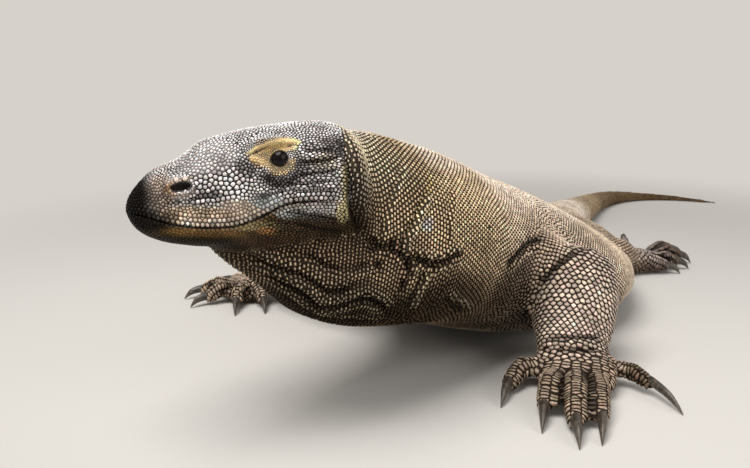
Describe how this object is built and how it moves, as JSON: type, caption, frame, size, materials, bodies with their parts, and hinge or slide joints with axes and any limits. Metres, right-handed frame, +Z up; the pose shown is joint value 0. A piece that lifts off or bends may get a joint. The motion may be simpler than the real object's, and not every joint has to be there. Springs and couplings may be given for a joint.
{
  "type": "komodo dragon",
  "caption": "Life-size still model of a Komodo dragon at rest, belly down, chest propped on its forelegs, head turned to its right, tail laid in a curve.",
  "frame": {"origin": "centre of the bounding box footprint, on the floor", "axes": "+Z up; the trunk lies along Y with the shoulders towards -Y and the tail towards +Y; +X is the animal's left"},
  "size_m": [0.9622, 1.8048, 0.3378],
  "materials": {
    "hide": "matt beaded scales, grey brown with paler tops",
    "eye": "wet gloss, nearly black",
    "claw": "dull dark horn"
  },
  "bodies": {
    "root": {"head": "hide", "lower_jaw": "hide", "eye_left": "eye", "eye_right": "eye", "neck": "hide", "trunk": "hide", "tail_1": "hide", "tail_2": "hide", "tail_3": "hide", "tail_4": "hide", "upper_arm_left": "hide", "forearm_left": "hide", "forefoot_left": "hide", "thigh_left": "hide", "shin_left": "hide", "hindfoot_left": "hide", "claw_fore_left_1": "claw", "claw_fore_left_2": "claw", "claw_fore_left_3": "claw", "claw_fore_left_4": "claw", "claw_fore_left_5": "claw", "claw_hind_left_1": "claw", "claw_hind_left_2": "claw", "claw_hind_left_3": "claw", "claw_hind_left_4": "claw", "claw_hind_left_5": "claw", "upper_arm_right": "hide", "forearm_right": "hide", "forefoot_right": "hide", "thigh_right": "hide", "shin_right": "hide", "hindfoot_right": "hide", "claw_fore_right_1": "claw", "claw_fore_right_2": "claw", "claw_fore_right_3": "claw", "claw_fore_right_4": "claw", "claw_fore_right_5": "claw", "claw_hind_right_1": "claw", "claw_hind_right_2": "claw", "claw_hind_right_3": "claw", "claw_hind_right_4": "claw", "claw_hind_right_5": "claw"}
  },
  "joints": []
}
